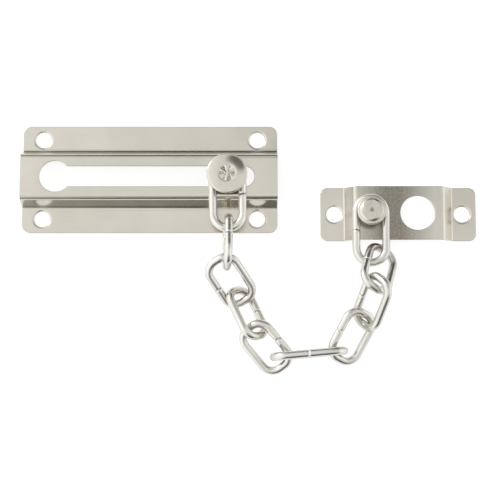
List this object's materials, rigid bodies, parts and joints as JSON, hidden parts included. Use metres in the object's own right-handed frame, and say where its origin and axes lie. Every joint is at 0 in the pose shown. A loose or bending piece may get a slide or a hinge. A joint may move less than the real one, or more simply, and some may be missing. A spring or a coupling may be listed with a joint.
{
  "type": "door chain guard",
  "caption": "Door chain guard: a keyhole slide plate, a chain of bent-wire links on a sliding stud, and a keeper plate with a rivet and a parking hole.",
  "frame": {"origin": "centre of the slide plate's four-screw pattern, on its mounting face", "axes": "+Z out of the door; +X along the slide plate towards the keeper; +Y up the door when the slide plate is screwed on level"},
  "size_m": [0.1563, 0.086, 0.0186],
  "materials": {
    "plate": "satin nickel plate on pressed steel",
    "link": "bright nickel plate on steel wire",
    "fitting": "satin nickel plate on turned steel"
  },
  "bodies": {
    "slide_plate": {"slide_plate": "plate"},
    "stud": {"stud_pin": "fitting", "stud_disc": "fitting"},
    "link_01": {"chain_link_01": "link"},
    "link_02": {"chain_link_02": "link"},
    "link_03": {"chain_link_03": "link"},
    "link_04": {"chain_link_04": "link"},
    "link_05": {"chain_link_05": "link"},
    "link_06": {"chain_link_06": "link"},
    "link_07": {"chain_link_07": "link"},
    "link_08": {"chain_link_08": "link"},
    "link_09": {"chain_link_09": "link"},
    "link_10": {"chain_link_10": "link"},
    "keeper": {"keeper_plate": "plate", "keeper_rivet": "fitting"}
  },
  "joints": [
    {"name": "stud_slide", "type": "slide", "parent": "slide_plate", "child": "stud", "axis": [1, 0, 0], "range_m": [-0.012, 0.005]},
    {"name": "link_01_swivel", "type": "hinge", "parent": "stud", "child": "link_01", "pos_m": [0.02675, 0, 0.0096], "axis": [0, 0, 1], "range_deg": [-40, 40]},
    {"name": "link_02_swing", "type": "hinge", "parent": "link_01", "child": "link_02", "pos_m": [0.02736, -0.01804, 0.00958], "axis": [0.9997, 0.0171, -0.0174], "range_deg": [-40, 25]},
    {"name": "link_03_swing", "type": "hinge", "parent": "link_02", "child": "link_03", "pos_m": [0.02685, -0.03117, 0.01344], "axis": [-0.0871, -0.4538, -0.8869], "range_deg": [-28, 40]},
    {"name": "link_04_swing", "type": "hinge", "parent": "link_03", "child": "link_04", "pos_m": [0.03393, -0.04143, 0.00484], "axis": [0.7119, 0.6572, 0.2474], "range_deg": [-5, 40]},
    {"name": "link_05_swing", "type": "hinge", "parent": "link_04", "child": "link_05", "pos_m": [0.03893, -0.05341, 0.00566], "axis": [-0.3549, -0.5992, 0.7176], "range_deg": [-20, 32]},
    {"name": "link_06_swing", "type": "hinge", "parent": "link_05", "child": "link_06", "pos_m": [0.0474, -0.06199, 0.00467], "axis": [-0.2184, -0.9058, -0.363], "range_deg": [-30, 40]},
    {"name": "link_07_swing", "type": "hinge", "parent": "link_06", "child": "link_07", "pos_m": [0.06571, -0.05928, 0.00504], "axis": [-0.3706, -0.0006, -0.9288], "range_deg": [-12, 40]},
    {"name": "link_08_swing", "type": "hinge", "parent": "link_07", "child": "link_08", "pos_m": [0.07176, -0.04643, 0.00807], "axis": [0.8672, -0.2897, -0.405], "range_deg": [-40, 8]},
    {"name": "link_09_swing", "type": "hinge", "parent": "link_08", "child": "link_09", "pos_m": [0.07513, -0.03509, 0.01197], "axis": [0.6168, 0.2609, 0.7426], "range_deg": [-40, 40]},
    {"name": "link_10_swing", "type": "hinge", "parent": "link_09", "child": "link_10", "pos_m": [0.07435, -0.02772, 0.00905], "axis": [0.2531, 0.7791, -0.5736], "range_deg": [-40, 0]},
    {"name": "keeper_swivel", "type": "hinge", "parent": "link_10", "child": "keeper", "pos_m": [0.07562, -0.0122, 0.0071], "axis": [0, 0, -1], "range_deg": [-28, 13]}
  ]
}
